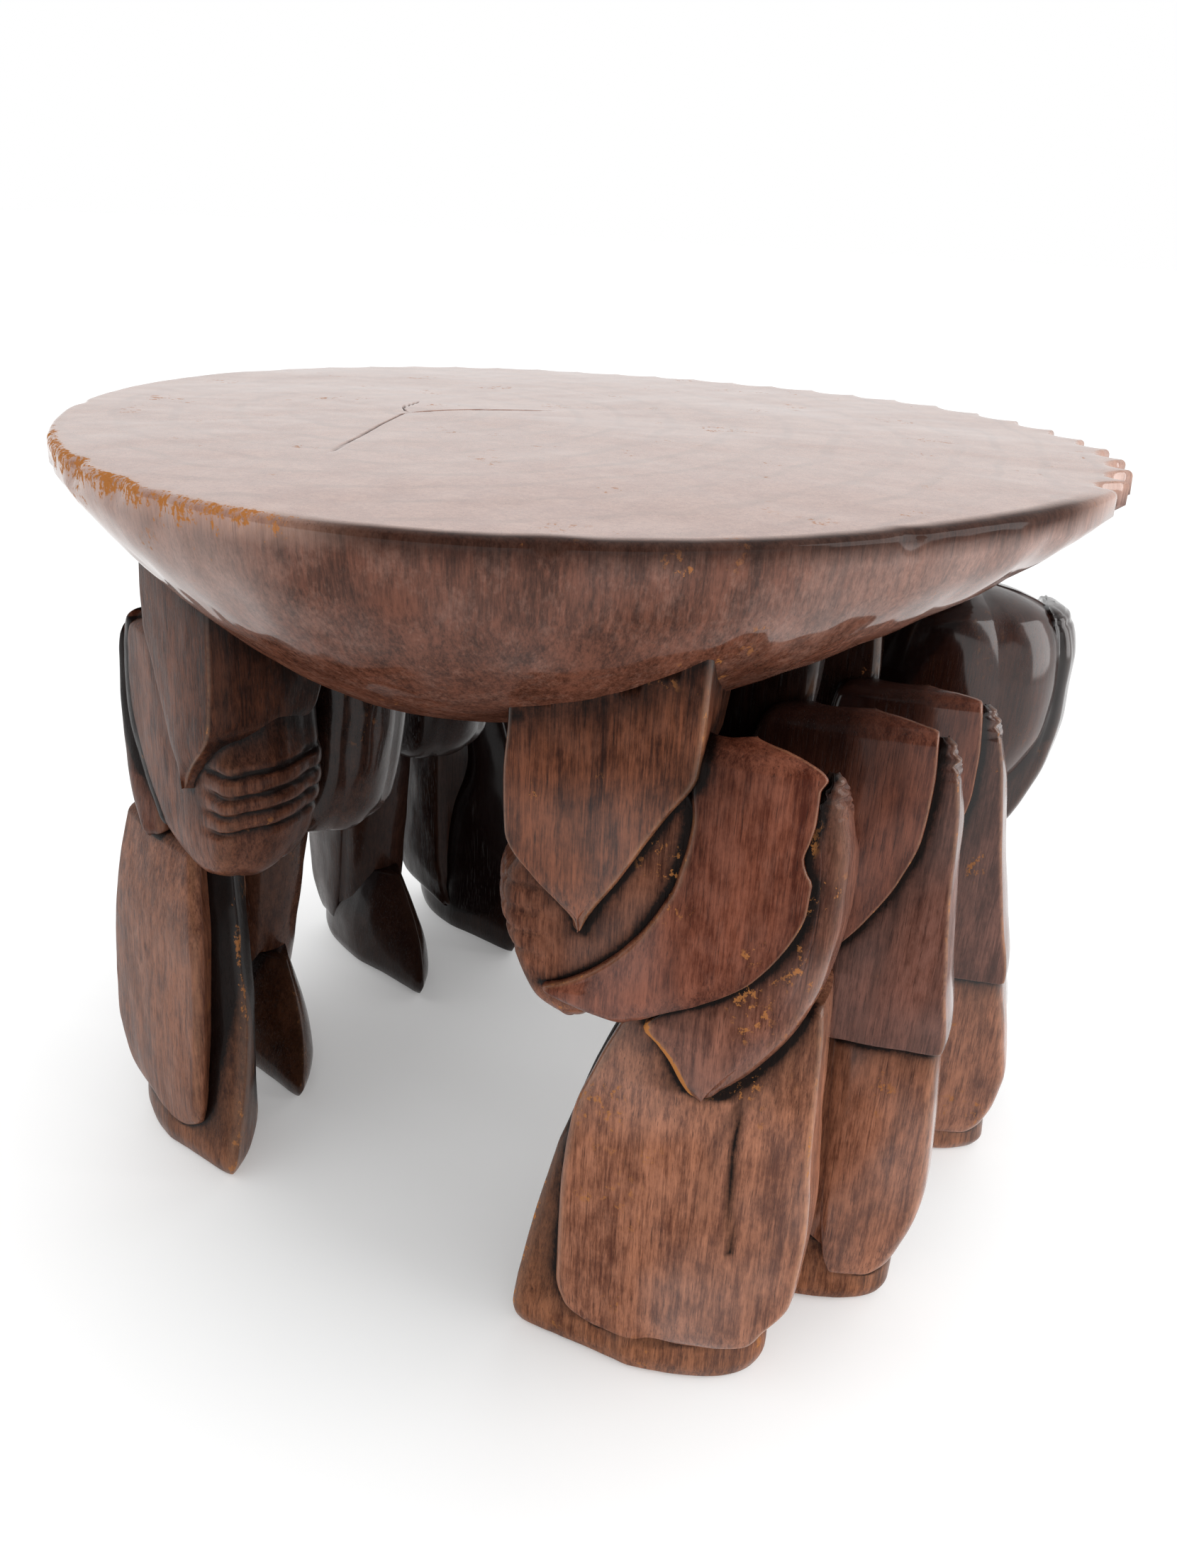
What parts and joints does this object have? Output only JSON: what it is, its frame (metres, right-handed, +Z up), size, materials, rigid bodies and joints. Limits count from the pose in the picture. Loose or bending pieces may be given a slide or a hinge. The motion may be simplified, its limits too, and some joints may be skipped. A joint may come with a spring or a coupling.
{
  "type": "carved side table",
  "caption": "Round carved wooden side table: a thick bowl-shaped top with a part-toothed rim, carried by two rows of crouching robed figures on pointed feet.",
  "frame": {"origin": "on the floor under the middle of the table's box", "axes": "+Z up; +X towards the right row of figures, which face along X; +Y along the rows towards the toothed side of the rim"},
  "size_m": [0.5715, 0.5422, 0.46],
  "materials": {
    "wood_top": "semi-gloss dark red-brown varnish with radial checks and raw worn rim",
    "wood_arm": "glossy dark varnish, vertical grain",
    "wood_post": "near-black glossy varnish in the recess",
    "wood_body": "glossy dark varnish with carved grooves",
    "wood_hood": "glossy dark varnish, domed and polished",
    "wood_sleeve": "glossy dark varnish with carved knuckles",
    "wood_robe": "semi-gloss dark varnish, straight grain",
    "wood_leg": "semi-gloss dark varnish, orange-brown streaks",
    "wood_foot": "semi-gloss dark varnish, worn to raw wood at the sole edge"
  },
  "bodies": {
    "root": {"top": "wood_top", "right_1_arm": "wood_arm", "right_1_body": "wood_body", "right_1_hood": "wood_hood", "right_1_sleeve": "wood_sleeve", "right_1_leg": "wood_leg", "right_1_foot": "wood_foot", "right_2_post": "wood_post", "right_2_body": "wood_body", "right_2_hood": "wood_hood", "right_2_robe": "wood_robe", "right_2_leg": "wood_leg", "right_2_foot": "wood_foot", "right_3_post": "wood_post", "right_3_body": "wood_body", "right_3_hood": "wood_hood", "right_3_robe": "wood_robe", "right_3_leg": "wood_leg", "right_3_foot": "wood_foot", "right_4_arm": "wood_arm", "right_4_body": "wood_body", "right_4_hood": "wood_hood", "right_4_sleeve": "wood_sleeve", "right_4_leg": "wood_leg", "right_4_foot": "wood_foot", "left_1_arm": "wood_arm", "left_1_body": "wood_body", "left_1_hood": "wood_hood", "left_1_sleeve": "wood_sleeve", "left_1_leg": "wood_leg", "left_1_foot": "wood_foot", "left_2_post": "wood_post", "left_2_body": "wood_body", "left_2_hood": "wood_hood", "left_2_robe": "wood_robe", "left_2_leg": "wood_leg", "left_2_foot": "wood_foot", "left_3_post": "wood_post", "left_3_body": "wood_body", "left_3_hood": "wood_hood", "left_3_robe": "wood_robe", "left_3_leg": "wood_leg", "left_3_foot": "wood_foot", "left_4_arm": "wood_arm", "left_4_body": "wood_body", "left_4_hood": "wood_hood", "left_4_sleeve": "wood_sleeve", "left_4_leg": "wood_leg", "left_4_foot": "wood_foot"}
  },
  "joints": []
}
